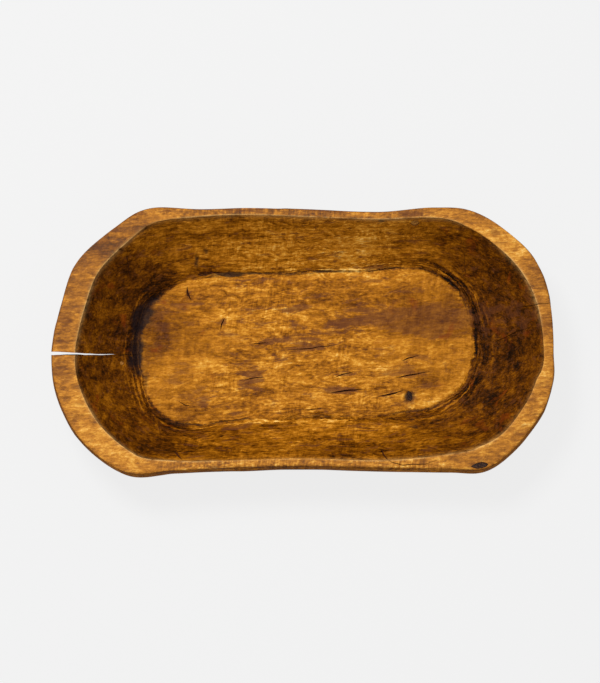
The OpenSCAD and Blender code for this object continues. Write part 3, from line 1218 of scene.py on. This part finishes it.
@dataclass
class Graph:
    """A material's nodes, with short ways to add and join them.

    Attributes:
        material: The material to fill.
        shared: The patterns and attributes made so far, each of which is made once.
    """

    material: bpy.types.Material
    shared: dict[object, Socket] = field(default_factory=dict)

    def __post_init__(self) -> None:
        """Clears the material and adds its surface."""
        self.material.use_nodes = True
        self.tree = self.material.node_tree
        self.tree.nodes.clear()
        self.surface = self.tree.nodes.new("ShaderNodeBsdfPrincipled")
        output = self.tree.nodes.new("ShaderNodeOutputMaterial")
        self.tree.links.new(self.surface.outputs[0], output.inputs[0])

    def put(self, node: bpy.types.Node, name: str | int, value: object) -> None:
        """Sets an input of a node to a value, or joins a socket to it.

        Args:
            node: The node.
            name: The input's name or number.
            value: A number, a colour or another node's socket.
        """
        if isinstance(value, Socket):
            self.tree.links.new(value, node.inputs[name])
        else:
            node.inputs[name].default_value = value

    def node(self, kind: str, inputs: dict[str | int, object], **settings: object) -> bpy.types.Node:
        """Adds a node.

        Args:
            kind: The end of the node type's name.
            inputs: A value or a socket for each input, by its name or number.
            **settings: The node's own settings, by name.

        Returns:
            The new node.
        """
        made = self.tree.nodes.new("ShaderNode" + kind)
        for name, value in settings.items():
            setattr(made, name, value)
        for name, value in inputs.items():
            self.put(made, name, value)
        return made

    def coat(self, colour: object, roughness: object, shine: float) -> None:
        """Sets the surface's colour, its roughness and how strongly it shines."""
        for name, value in (("Base Color", colour), ("Roughness", roughness), ("Specular IOR Level", shine)):
            self.put(self.surface, name, value)

    def place(self, swells: Swells) -> Socket:
        """The place on the object, turned and stretched to a pattern's own scale.

        Args:
            swells: The pattern.

        Returns:
            A vector socket.
        """
        where = self.node("TexCoord", {}).outputs["Object"]
        turned = self.node("Mapping", {"Vector": where, "Rotation": (0, 0, math.radians(swells.tilt))})
        scaled = self.node("VectorMath", {0: turned.outputs[0], 1: swells.stretch}, operation="MULTIPLY")
        return scaled.outputs[0]

    def noise(self, swells: Swells, drive: Socket | None = None) -> Socket:
        """Random swells from about 0 to 1.

        Args:
            swells: The pattern.
            drive: A value that moves the swells on as it changes, in place of the pattern's own pick.

        Returns:
            A value socket.
        """
        if swells not in self.shared:
            inputs = {
                "W": swells.pick if drive is None else drive,
                "Scale": 1.0,
                "Detail": swells.detail,
                "Roughness": swells.harsh,
                "Distortion": swells.pull,
                "Vector": self.place(swells),
            }
            self.shared[swells] = self.node("TexNoise", inputs, noise_dimensions="4D").outputs[0]
        return self.shared[swells]

    def attribute(self, name: str) -> Socket:
        """A value kept at each point of the skin.

        Args:
            name: The value's name.

        Returns:
            A value socket.
        """
        if name not in self.shared:
            self.shared[name] = self.node("Attribute", {}, attribute_name=name).outputs["Fac"]
        return self.shared[name]

    def math(
        self, operation: str, a: object, b: object = 0.0, c: object = 0.0, clamp: bool = False
    ) -> Socket:
        """One step of arithmetic on sockets or numbers."""
        return self.node("Math", {0: a, 1: b, 2: c}, operation=operation, use_clamp=clamp).outputs[0]

    def times(self, a: object, b: object) -> Socket:
        """One value times another."""
        return self.math("MULTIPLY", a, b)

    def plus(self, total: object, value: object, share: object, clamp: bool = False) -> Socket:
        """A total with a share of a value added to it."""
        return self.math("MULTIPLY_ADD", value, share, total, clamp)

    def rest(self, share: object) -> Socket:
        """What is left of 1 after a share."""
        return self.math("SUBTRACT", 1.0, share)

    def add(self, total: object, pattern: Socket, strength: object) -> Socket:
        """Adds a pattern about its own middle to a total."""
        return self.plus(total, self.math("SUBTRACT", pattern, 0.5), strength)

    def hump(self, away: Socket) -> Socket:
        """A smooth hump of height 1 where a distance is 0, which dies away as it nears 1."""
        return self.math("EXPONENT", self.times(self.times(away, away), -1.0))

    def spread(self, value: Socket, low: float, high: float) -> Socket:
        """Stretches a value so that low becomes 0 and high becomes 1, with soft ends."""
        inputs = {"Value": value, "From Min": low, "From Max": high}
        return self.node("MapRange", inputs, interpolation_type="SMOOTHSTEP").outputs[0]

    def patches(self, swells: Swells, raised: object = 0.0, share: float = 0.0) -> Socket:
        """A pattern cut to soft patches, with more of them where it is raised.

        Args:
            swells: The pattern.
            raised: Where the pattern is raised.
            share: How much it is raised there.

        Returns:
            The share of patch.
        """
        value = self.plus(self.noise(swells), raised, share) if share else self.noise(swells)
        return self.spread(value, *swells.cut)

    def tint(self, share: object, base: object, colour: Colour) -> Socket:
        """Blends a display colour over a base by a share."""
        return self.node("Mix", {0: share, 6: base, 7: linear(colour)}, data_type="RGBA").outputs[2]

    def blend(self, share: object, base: object, other: object) -> Socket:
        """Blends one value into another by a share."""
        return self.node("Mix", {0: share, 2: base, 3: other}, data_type="FLOAT").outputs[0]

    def ramp(self, value: Socket, stops: Stops) -> Socket:
        """Turns a value into a colour by a list of stops.

        Args:
            value: The value to look up.
            stops: Places from 0 to 1, each with its display colour.

        Returns:
            A colour socket.
        """
        node = self.node("ValToRGB", {0: value})
        bar = node.color_ramp
        while len(bar.elements) < len(stops):
            bar.elements.new(0.5)
        for element, (at, colour) in zip(bar.elements, stops):
            element.position = at
            element.color = linear(colour)
        return node.outputs[0]

    def bump(self, height: Socket, depth: float) -> None:
        """Roughens the surface by a height, with its depth in metres."""
        node = self.node("Bump", {"Height": height, "Distance": depth, "Strength": 1.0})
        self.put(self.surface, "Normal", node.outputs[0])


@dataclass(frozen=True)
class WaxedWood:
    """Stained and waxed wood with its grain along X, with highlights painted on the rim's inner edge, the
    floor's edge and the raised heel fibres.

    Attributes:
        name: The material's name.
        stops: Colours from the darkest tone to the palest.
        umber: Colour of the brown patches where the stain lies thick.
        rust: Colour of the red spots on the end walls.
        soot: Colour of the black smears along the heel.
        bare_and_highlight: Colour where the finish is rubbed off, also used to paint the highlight along the
            rim's inner edge.
        dust: Colour that the sawn rim, which is rougher, takes a little of.
        gloss: Roughness of the wax where it is smoothest.
        shine: How strongly the wax shines.
        relief: Depth of the fine relief, in metres.
        fibre_shade: How much darker the torn fibres are.
        fibre_highlight: How much paler the raised fibres are painted, as their highlight.
        floor_edge_highlight: How much paler the floor's edge is painted, as the highlight on its raised
            edge.
        dusting: Share of dust on the rim.
        sooting: Share of black in the smears.
        baring_and_highlight: Share of rubbed finish and painted highlight on the rim's inner edge.
        cloud: Broad light and dark.
        band: Long bands along the grain.
        streak: Thin streaks along the grain.
        mottle: Small blotches.
        fine: The finest grain.
        figure: The swells whose contours are the growth rings.
        saw_across: The saw's marks across the side rims.
        saw_along: The saw's marks along the end rims.
        sawn: Where the saw's marks also show inside the bowl.
        chisel: The gouge's marks down the end walls.
        nick: Short pale nicks.
        thick: Where the stain lies thick.
        stroke: Long strokes of thick stain.
        rusty: Where the red spots are.
        smeared: How the smears' edges are broken.
        heel_sway: How the heel's edge sways, with its strength in metres.
        heel_rag: How ragged the heel's edge is, with its strength in metres.
        fibre: The torn fibres, which follow the heel.
        torn: Where the fibres are torn.
        charred: Where the heel's black line is broken.
    """

    name: str = "carved_waxed_wood"
    stops: Stops = (
        (0.00, (14, 6, 2)),
        (0.14, (42, 18, 0)),
        (0.28, (80, 40, 0)),
        (0.42, (116, 66, 2)),
        (0.56, (148, 90, 10)),
        (0.70, (180, 114, 24)),
        (0.84, (210, 148, 50)),
        (1.00, (236, 190, 104)),
    )
    umber: Colour = (94, 52, 28)
    rust: Colour = (118, 50, 6)
    soot: Colour = (20, 15, 18)
    bare_and_highlight: Colour = (226, 182, 114)
    dust: Colour = (168, 122, 84)
    gloss: float = 0.36
    shine: float = 0.06
    relief: float = 0.0018
    fibre_shade: float = 0.26
    fibre_highlight: float = 0.30
    floor_edge_highlight: float = 0.04
    dusting: float = 0.15
    sooting: float = 0.88
    baring_and_highlight: float = 0.80
    cloud: Swells = Swells((11, 34, 28), 3, 0.8, 1.0, GRAIN_TILT, strength=0.46)
    band: Swells = Swells((9, 74, 70), 7, 1.3, 2.0, GRAIN_TILT, 0.6, 0.64)
    streak: Swells = Swells((30, 260, 240), 4, 0.4, 3.0, GRAIN_TILT, 0.55, 0.30)
    mottle: Swells = Swells((62, 105, 95), 7, 1.0, 4.0, 0.0, 0.64, 0.95, (0.30, 0.54))
    fine: Swells = Swells((210, 520, 420), 3, 0.6, 12.0, GRAIN_TILT, 0.6, 0.72)
    figure: Swells = Swells((12, 44, 40), 2, 0.3, 18.0, GRAIN_TILT, 0.4)
    saw_across: Swells = Swells((400, 60, 60), 3, 0.4, 5.0, 8.0, 0.6)
    saw_along: Swells = Swells((44, 360, 60), 4, 0.8, 6.0, -4.0, 0.6, 0.42)
    sawn: Swells = Swells((16, 16, 16), 2, 0.5, 10.0, cut=(0.45, 0.60))
    chisel: Swells = Swells((120, 26, 40), 4, 0.7, 16.0, 6.0, 0.6, 0.42)
    nick: Swells = Swells((70, 380, 300), 2, 0.8, 17.0, -14.0, cut=(0.62, 0.68))
    thick: Swells = Swells((30, 110, 90), 7, 0.9, 7.0, GRAIN_TILT, 0.66, cut=(0.55, 0.65))
    stroke: Swells = Swells((36, 170, 140), 5, 1.3, 15.0, GRAIN_TILT, 0.62, cut=(0.60, 0.65))
    rusty: Swells = Swells((40, 40, 40), 5, 1.0, 8.0, strength=0.6, cut=(0.58, 0.70))
    smeared: Swells = Swells((75, 110, 90), 6, 0.8, 9.0, cut=(0.30, 0.84))
    heel_sway: Swells = Swells((30, 40, 40), 3, 0.6, 21.0, strength=0.009)
    heel_rag: Swells = Swells((170, 300, 300), 4, 0.6, 22.0, harsh=0.6, strength=0.006)
    fibre: Swells = Swells((20, 20, 20), 3, 0.3, cut=(0.50, 0.60))
    torn: Swells = Swells((34, 34, 34), 4, 0.8, 24.0, cut=(0.36, 0.58))
    charred: Swells = Swells((24, 24, 24), 4, 0.5, 23.0, cut=(0.42, 0.56))

    def make(self) -> bpy.types.Material:
        """Makes the material.

        Returns:
            The new material.
        """
        material = bpy.data.materials.new(self.name)
        g = Graph(material)
        run = self._ragged_run(g)
        fibres, fibre_highlights, black_line = self._heel_fibres(g, run)
        total = self._figure(g, self._tool_marks(g, self._grain(g, self._stained(g, run))))
        total = g.plus(total, fibres, -self.fibre_shade)
        # Pale raised fibres, painted as their highlight.
        total = g.plus(total, fibre_highlights, self.fibre_highlight)
        # A pale strip painted along the floor's edge as its highlight.
        total = g.plus(total, self._floor_edge_highlight_share(g, run), self.floor_edge_highlight, clamp=True)
        colour = g.ramp(total, self.stops)
        colour = g.tint(g.times(g.attribute("on_rim"), self.dusting), colour, self.dust)
        colour = g.tint(self._thick_stain(g), colour, self.umber)
        colour = g.tint(self._rust_spots(g), colour, self.rust)
        soot = self._smears(g, black_line)
        colour = g.tint(g.times(soot, self.sooting), colour, self.soot)
        # Pale rubbed finish on the rim's inner edge, which also paints that edge's highlight.
        colour = g.tint(self._rubbed_and_highlit_lip(g), colour, self.bare_and_highlight)
        rough = g.plus(self.gloss, g.noise(self.streak), 0.26)
        g.coat(colour, g.plus(rough, g.attribute("outside"), 0.4, clamp=True), self.shine)
        height = g.plus(g.noise(self.mottle), g.noise(self.streak), 0.7)
        height = g.plus(height, g.noise(self.saw_across), 0.4)
        height = g.plus(height, fibres, -0.8)
        g.bump(g.plus(height, soot, -0.5), self.relief)
        return material

    def _ragged_run(self, g: Graph) -> Socket:
        """Distance from the heel with a ragged edge, in metres."""
        run = g.add(g.attribute("heel_run"), g.noise(self.heel_sway), self.heel_sway.strength)
        return g.add(run, g.noise(self.heel_rag), self.heel_rag.strength)

    @staticmethod
    def _stained(g: Graph, run: Socket) -> Socket:
        """The stain's own tone, with a clear edge between floor and wall."""
        on_floor = g.rest(g.spread(run, -0.0011, 0.0011))
        return g.blend(on_floor, g.attribute("tone"), g.attribute("floor_tone"))

    @staticmethod
    def _end_walls(g: Graph) -> Socket:
        """Share of end wall below the rim."""
        return g.times(g.attribute("ends"), g.rest(g.attribute("on_rim")))

    def _grain(self, g: Graph, total: Socket) -> Socket:
        """Adds the grain, which is calmer on the end walls.

        Args:
            g: The material's graph.
            total: The tone so far.

        Returns:
            The new tone.
        """
        calm = g.plus(1.0, self._end_walls(g), -0.30)
        for swells in (self.cloud, self.band, self.streak, self.mottle, self.fine):
            total = g.add(total, g.noise(swells), g.times(calm, swells.strength))
        return total

    def _tool_marks(self, g: Graph, total: Socket) -> Socket:
        """Adds what the saw, the gouge and the knife left.

        Args:
            g: The material's graph.
            total: The tone so far.

        Returns:
            The new tone.
        """
        rim, ends = g.attribute("on_rim"), g.attribute("ends")
        sawn = g.plus(g.times(g.patches(self.sawn), 0.60), rim, 0.50)
        total = g.add(total, g.noise(self.saw_across), g.times(sawn, g.rest(ends)))
        total = g.add(total, g.noise(self.saw_along), g.times(g.times(rim, ends), self.saw_along.strength))
        total = g.add(total, g.noise(self.chisel), g.times(self._end_walls(g), self.chisel.strength))
        return g.plus(total, g.patches(self.nick), g.plus(0.10, rim, -0.06))

    def _figure(self, g: Graph, total: Socket) -> Socket:
        """Adds the growth rings to the tone."""
        turns = g.plus(g.times(g.noise(self.figure), 130.0), g.noise(self.fine), 3.0)
        return g.plus(total, g.math("SINE", turns), g.plus(0.06, g.attribute("ends"), -0.045))

    def _heel_fibres(self, g: Graph, run: Socket) -> tuple[Socket, Socket, Socket]:
        """Torn fibres that follow the heel, with their highlight painted as pale fibres, and the black line
        at its foot.

        Args:
            g: The material's graph.
            run: Ragged distance from the heel, in metres.

        Returns:
            The share of dark fibre, the share of pale fibre, which is a painted highlight, and the share of
            black line.
        """
        ends = g.attribute("ends")
        follow = g.noise(self.fibre, g.times(run, 330.0))
        on_wall = g.spread(run, -0.001, 0.003)
        width = g.blend(on_wall, 0.0050, g.plus(0.007, ends, 0.015))
        reach = g.hump(g.math("DIVIDE", g.math("SUBTRACT", run, 0.002), width))
        patchy = g.plus(0.2, g.patches(self.torn), 0.8)
        dark = g.times(g.times(g.spread(follow, *self.fibre.cut), reach), patchy)
        # Pale fibres on the wall: the raised fibres' highlight, painted.
        pale = g.times(g.times(g.rest(g.spread(follow, 0.38, 0.45)), reach), on_wall)
        near = g.rest(g.spread(g.math("ABSOLUTE", run), 0.0003, 0.0016))
        black = g.times(g.patches(self.charred), g.plus(0.75, ends, -0.25))
        return g.times(dark, g.attribute("torn")), pale, g.times(near, black)

    @staticmethod
    def _floor_edge_highlight_share(g: Graph, run: Socket) -> Socket:
        """Share of the painted highlight, a pale strip along the floor's raised edge."""
        return g.hump(g.math("DIVIDE", g.math("ADD", run, 0.005), 0.004))

    def _thick_stain(self, g: Graph) -> Socket:
        """Share of brown patch.

        Args:
            g: The material's graph.

        Returns:
            The share, from 0 to 1.
        """
        umber, ends = g.attribute("umber"), g.attribute("ends")
        patch = g.times(g.patches(self.thick, umber, 0.17), g.plus(0.74, ends, -0.3))
        stroke = g.times(g.patches(self.stroke, umber, 0.05), g.plus(0.62, ends, -0.3))
        return g.math("MAXIMUM", patch, stroke)

    def _rust_spots(self, g: Graph) -> Socket:
        """Share of red spot, which only the end walls have."""
        return g.times(g.times(g.patches(self.rusty), self._end_walls(g)), self.rusty.strength)

    def _smears(self, g: Graph, black_line: Socket) -> Socket:
        """Share of black, from the smears and the line along the heel."""
        smear = g.add(g.times(g.attribute("smear"), 1.25), g.noise(self.smeared), 1.0)
        return g.math("MAXIMUM", g.spread(smear, *self.smeared.cut), black_line)

    def _rubbed_and_highlit_lip(self, g: Graph) -> Socket:
        """Share of rubbed finish and painted highlight on the rim's inner edge."""
        return g.times(g.times(g.attribute("worn_lip_and_highlight"), g.patches(self.mottle)), self.baring_and_highlight)


@dataclass(frozen=True)
class SplitWood:
    """The dark wood inside checks, splits and sockets.

    Attributes:
        name: The material's name.
        dark: Colour of its darkest fibres.
        pale: Colour of its palest fibres.
        fibre: Its fibres.
        cloud: Broad light and dark.
    """

    name: str = "split_wood"
    dark: Colour = (36, 15, 8)
    pale: Colour = (100, 48, 22)
    fibre: Swells = Swells((60, 900, 700), 4, 0.4, 11.0)
    cloud: Swells = Swells((60, 60, 60), 3, 0.2, 12.0)

    def make(self) -> bpy.types.Material:
        """Makes the material.

        Returns:
            The new material.
        """
        material = bpy.data.materials.new(self.name)
        g = Graph(material)
        fibre = g.noise(self.fibre)
        value = g.plus(g.times(g.noise(self.cloud), 0.4), fibre, 0.5, clamp=True)
        colour = g.ramp(value, ((0.25, self.dark), (0.75, self.pale)))
        g.coat(colour, g.plus(0.7, fibre, 0.2), 0.12)
        g.bump(fibre, 0.0006)
        return material


@dataclass(frozen=True)
class KnotWood:
    """The ringed wood of a dead knot, darker or paler towards its heart.

    Attributes:
        name: The material's name.
        stops: Colours along its rings.
        ring: Its rings.
        grit: Its fine grain.
    """

    name: str
    stops: Stops
    ring: Swells = Swells((500, 700, 500), 4, 0.8, 13.0)
    grit: Swells = Swells((1800, 1800, 1800), 3, 0.0, 14.0)

    def make(self) -> bpy.types.Material:
        """Makes the material.

        Returns:
            The new material.
        """
        material = bpy.data.materials.new(self.name)
        g = Graph(material)
        grit = g.noise(self.grit)
        value = g.plus(g.noise(self.ring), g.math("SUBTRACT", grit, 0.5), 0.4, clamp=True)
        g.coat(g.ramp(value, self.stops), g.plus(0.45, grit, 0.25), 0.2)
        g.bump(grit, 0.0003)
        return material


@dataclass
class CarvedBowl:
    """The trough itself: one skin, cut by its check, splits and sockets.

    Attributes:
        form: The bowl's sizes.
        knots: The dead knots that need sockets.
    """

    form: TroughForm
    knots: Sequence[DeadKnot]

    def build(self) -> bpy.types.Object:
        """Carves the skin and cuts it.

        Returns:
            The finished piece, with its tones kept at its points.
        """
        marks = ToolMarks(self.form)
        self.skin = marks.carve()
        self.values = WoodTones(self.form).paint(self.skin, marks.run_from_heel())
        piece = new_piece("bowl_wood", self._skin_mesh())
        self.surface = Surface(self._tree(piece.data), self.form.height)
        self._cut(piece)
        self._keep_values(piece.data)
        piece.data.shade_smooth()
        piece.data.set_sharp_from_angle(angle=math.radians(42))
        return piece

    @staticmethod
    def _tree(data: bpy.types.Mesh) -> BVHTree:
        """A search tree over a mesh."""
        points = [v.co for v in data.vertices]
        return BVHTree.FromPolygons(points, [p.vertices for p in data.polygons])

    def _skin_mesh(self) -> bpy.types.Mesh:
        """Joins the rings of the skin into one closed mesh.

        Returns:
            The new mesh.
        """
        rows, count = self.skin.shape[:2]
        row, col = np.meshgrid(np.arange(rows - 1), np.arange(count), indexing="ij")
        low = row * count + col
        nxt = row * count + (col + 1) % count
        quads = np.stack([low, nxt, nxt + count, low + count], -1).reshape(-1, 4)
        ends = [list(reversed(range(count))), list(range((rows - 1) * count, rows * count))]
        data = bpy.data.meshes.new("bowl_wood")
        data.from_pydata((self.skin.reshape(-1, 3) * MM).tolist(), [], quads.tolist() + ends)
        data.validate()
        return data

    def _cutters(self) -> bpy.types.Object:
        """Every check, split and socket as one set of closed bodies.

        Returns:
            The new piece, which is removed after the cut.
        """
        shell = Shell()
        shell.add_tube(OpenCheck(self.form).cutter())
        for index, split in enumerate(SPLITS):
            shell.add_tube(groove(split, self.surface, 40 + 3 * index))
        for knot in self.knots:
            shell.add_tube(knot.socket(self.surface))
        return new_piece("cutters", shell.mesh("cutters"))

    def _cut(self, piece: bpy.types.Object) -> None:
        """Takes the cutters out of the skin. Faces that they leave get the second material.

        Args:
            piece: The uncut skin, which becomes the cut one.
        """
        cutters = self._cutters()
        piece.data.materials.append(WaxedWood().make())
        piece.data.materials.append(SplitWood().make())
        cutters.data.materials.append(piece.data.materials[1])
        cut = piece.modifiers.new("cut", "BOOLEAN")
        cut.operation = "DIFFERENCE"
        cut.object = cutters
        cut.solver = "MANIFOLD"
        cut.material_mode = "TRANSFER"
        bpy.context.view_layer.update()
        carved = piece.evaluated_get(bpy.context.evaluated_depsgraph_get())
        data = bpy.data.meshes.new_from_object(carved)
        piece.modifiers.clear()
        piece.data = data
        bpy.data.objects.remove(cutters)
        LOG.info("cut the check, %d splits and %d sockets", len(SPLITS), len(self.knots))

    def _keep_values(self, data: bpy.types.Mesh) -> None:
        """Stores the finish's values at each point, from the nearest point of the uncut skin.

        Args:
            data: The cut mesh.
        """
        points = self.skin.reshape(-1, 3) * MM
        tree = KDTree(len(points))
        for index, point in enumerate(points):
            tree.insert(point, index)
        tree.balance()
        nearest = np.array([tree.find(v.co)[1] for v in data.vertices])
        for name, values in self.values.items():
            layer = data.attributes.new(name, "FLOAT", "POINT")
            layer.data.foreach_set("value", values.reshape(-1)[nearest].astype(np.float32))


@dataclass
class Studio:
    """A plain pale floor, soft light and the camera.

    Attributes:
        form: The bowl's sizes, for the camera's aim.
        elevation: The camera's height above the horizon, in degrees.
        distance: Its distance from what it looks at, in metres.
        lens: Its focal length, in millimetres.
        sensor: Its sensor's width, in millimetres.
        aim: Where it looks, along and across the bowl, in millimetres.
        floor_half: Half the floor's side, in metres.
        floor_drop: How far the floor lies below the foot, in millimetres.
        floor_grey: How much light the floor throws back.
        floor_glow: How much it gives out.
        sky: Strength of the even light from all round.
        key_place: Where the soft box hangs, in metres.
        key_size: Its side, in metres.
        key_power: Its power, in watts.
    """

    form: TroughForm
    elevation: float = 84.2
    distance: float = 2.5
    lens: float = 136.8
    sensor: float = 36.0
    aim: tuple[float, float] = (-3.3, -1.7)
    floor_half: float = 4.0
    floor_drop: float = 0.2
    floor_grey: float = 0.06
    floor_glow: float = 0.81
    sky: float = 0.55
    key_place: tuple[float, float, float] = (-0.6, 0.8, 2.1)
    key_size: float = 0.6
    key_power: float = 50.0

    def build(self) -> None:
        """Sets up the floor, the light and the camera."""
        self._floor()
        self._sky()
        self._key_light()
        self._camera()

    def _floor(self) -> None:
        """A pale sweep just below the bowl."""
        half, level = self.floor_half, -self.floor_drop * MM
        corners = [(x * half, y * half, level) for x, y in ((-1, -1), (1, -1), (1, 1), (-1, 1))]
        data = bpy.data.meshes.new("studio_floor")
        data.from_pydata(corners, [], [(0, 1, 2, 3)])
        floor = new_piece("studio_floor", data)
        material = bpy.data.materials.new("pale_paper")
        g = Graph(material)
        g.coat((self.floor_grey, self.floor_grey, self.floor_grey, 1), 0.9, 0.0)
        g.put(g.surface, "Emission Color", (1, 1, 1, 1))
        g.put(g.surface, "Emission Strength", self.floor_glow)
        data.materials.append(material)

    def _sky(self) -> None:
        """An even white light from all round."""
        world = bpy.data.worlds.new("studio")
        bpy.context.scene.world = world
        world.use_nodes = True
        background = world.node_tree.nodes["Background"]
        background.inputs["Color"].default_value = (1, 1, 1, 1)
        background.inputs["Strength"].default_value = self.sky

    def _key_light(self) -> None:
        """One soft box on the far side, which faces the bowl."""
        light = bpy.data.lights.new("key_box", "AREA")
        light.shape = "SQUARE"
        light.size = self.key_size
        light.energy = self.key_power
        lamp = new_piece("key_box", light)
        lamp.location = self.key_place
        lamp.rotation_euler = (-Vector(self.key_place)).to_track_quat("-Z", "Y").to_euler()

    def _camera(self) -> None:
        """A long lens, nearly straight above."""
        tilt = math.radians(self.elevation)
        aim = Vector((self.aim[0], self.aim[1], self.form.height)) * MM
        lens = bpy.data.cameras.new("camera")
        lens.sensor_fit = "HORIZONTAL"
        lens.sensor_width = self.sensor
        lens.lens = self.lens
        lens.clip_end = 50.0
        camera = new_piece("camera", lens)
        camera.location = aim + Vector((0, -math.cos(tilt), math.sin(tilt))) * self.distance
        camera.rotation_euler = (math.radians(90) - tilt, 0, 0)
        bpy.context.scene.camera = camera
        bpy.context.scene.view_settings.view_transform = "Standard"


# Colours along the rings of each kind of knot
KNOT_COLOURS: dict[Slot, Stops] = {
    Slot.DARK_KNOT: ((0.25, (14, 8, 7)), (0.5, (40, 22, 14)), (0.75, (84, 52, 30))),
    Slot.PALE_KNOT: ((0.25, (92, 52, 14)), (0.5, (150, 98, 34)), (0.75, (200, 146, 70))),
}


def make_knots() -> list[DeadKnot]:
    """The four dead knots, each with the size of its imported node.

    Returns:
        The knots.
    """
    lens, disc = KnotOutline.LENS, KnotOutline.ROUND
    return [
        DeadKnot("rim_knot", Slot.DARK_KNOT, lens, 19, 6.5, 7.5, turn=8, sunk=0.5, room=0.25, seed=3),
        DeadKnot("floor_knot", Slot.DARK_KNOT, lens, 11, 5.5, 7.5, turn=100, sunk=0.5, room=0.25, seed=5),
        DeadKnot("wall_knot", Slot.PALE_KNOT, disc, 9, 9, 4.5, turn=0, sunk=0.2, room=0.2, seed=7),
        DeadKnot("pin_knot", Slot.PALE_KNOT, disc, 5, 5, 7.5, turn=0, sunk=0.2, room=0.15, seed=9),
    ]


def main() -> None:
    """Builds the bowl, its knots and the studio, and ties each piece to the frame."""
    logging.basicConfig(level=logging.INFO, format="%(name)s: %(message)s")
    low, high = (Vector(corner) for corner in cad_box)
    form = TroughForm(*((high - low) / MM))
    knots = make_knots()
    trough = CarvedBowl(form, knots)
    bowl = trough.build()
    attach(bowl, "root")
    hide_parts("bowl")
    LOG.info("carved the bowl: %d points", len(bowl.data.vertices))
    woods = {slot: KnotWood(slot.value, stops).make() for slot, stops in KNOT_COLOURS.items()}
    for knot in knots:
        piece = knot.build(trough.surface)
        piece.data.materials.append(woods[knot.slot])
        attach(piece, "root")
        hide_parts(knot.node)
        LOG.info("set %s: %d points", knot.node, len(piece.data.vertices))
    Studio(form).build()


if __name__ == "__main__":
    main()
